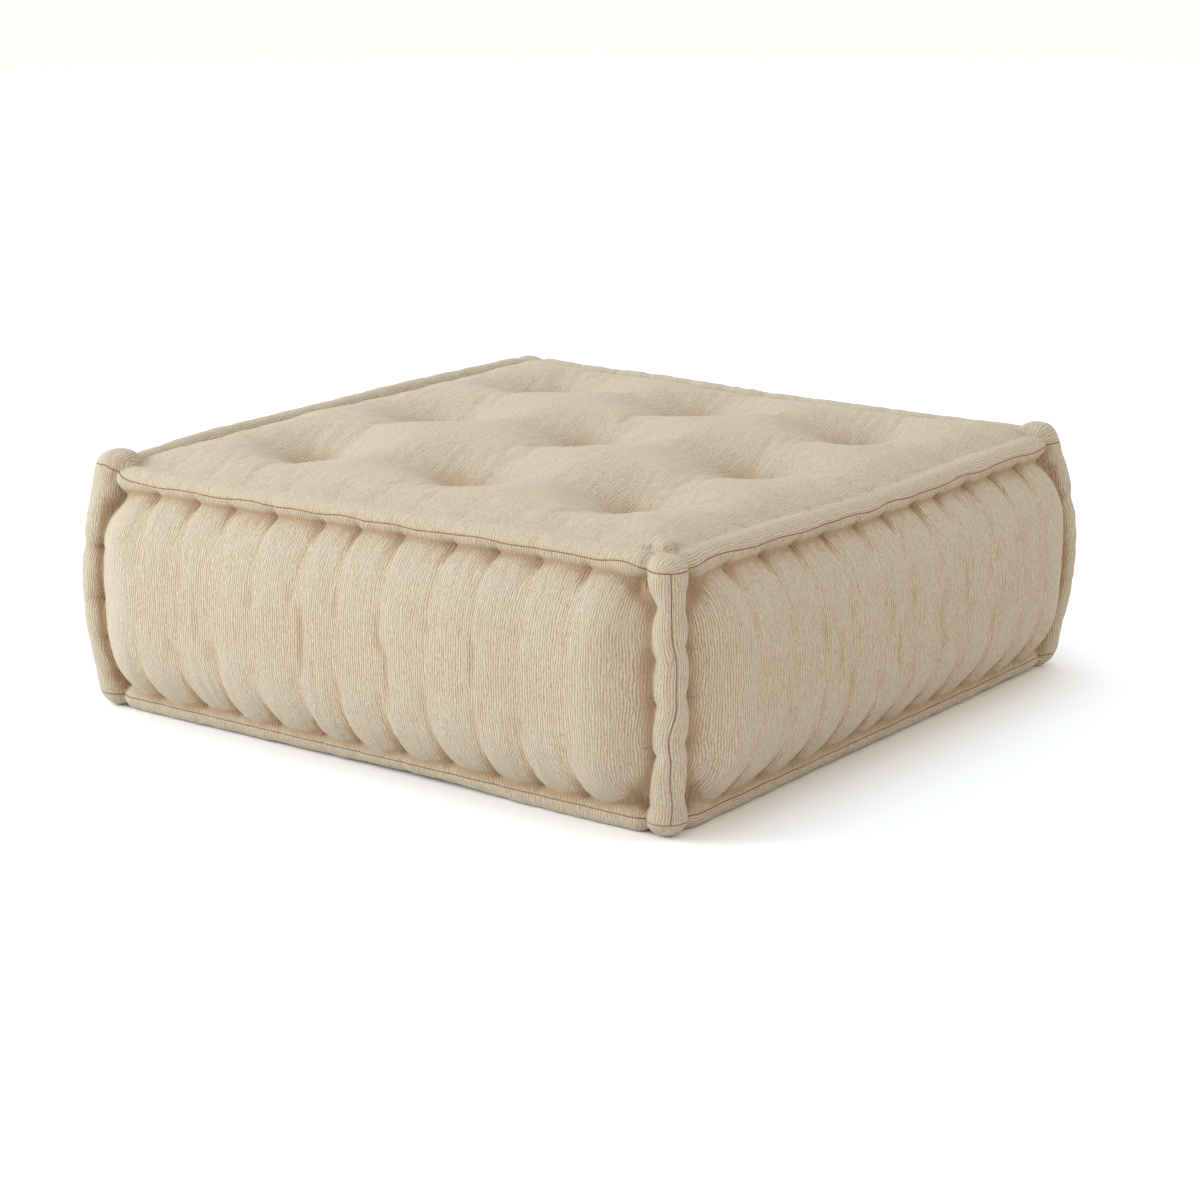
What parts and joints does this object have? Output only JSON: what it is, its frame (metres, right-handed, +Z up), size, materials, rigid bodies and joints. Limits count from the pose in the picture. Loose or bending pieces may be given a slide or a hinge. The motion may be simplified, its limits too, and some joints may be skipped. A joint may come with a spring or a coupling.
{
  "type": "floor cushion",
  "caption": "Square tufted floor cushion in crinkled cotton cloth, with stitched rolled edges, gently fluted sides and a soft dimpled top.",
  "frame": {"origin": "middle of the cushion's footprint, on the surface it rests on", "axes": "+Z up out of the tufted top, front panel towards -Y, right panel towards +X"},
  "size_m": [0.972, 0.972, 0.345],
  "materials": {
    "cover_cloth": "matt crinkled cotton-linen gauze with fine lengthwise creases",
    "filling": "matt carded fibre wadding",
    "twine": "matt twisted cotton twine"
  },
  "bodies": {
    "root": {"top_panel": "cover_cloth", "base_panel": "cover_cloth", "front_panel": "cover_cloth", "right_panel": "cover_cloth", "back_panel": "cover_cloth", "left_panel": "cover_cloth", "top_front_roll": "filling", "top_right_roll": "filling", "top_back_roll": "filling", "top_left_roll": "filling", "base_front_roll": "filling", "base_right_roll": "filling", "base_back_roll": "filling", "base_left_roll": "filling", "front_right_corner_roll": "filling", "back_right_corner_roll": "filling", "back_left_corner_roll": "filling", "front_left_corner_roll": "filling", "fibre_core": "filling", "top_wadding": "filling", "base_wadding": "filling", "front_wadding": "filling", "right_wadding": "filling", "back_wadding": "filling", "left_wadding": "filling", "tuft_cords": "twine", "tuft_top_knots": "twine", "tuft_base_knots": "twine", "top_edge_stitches": "twine", "base_edge_stitches": "twine", "corner_stitches": "twine"}
  },
  "joints": []
}
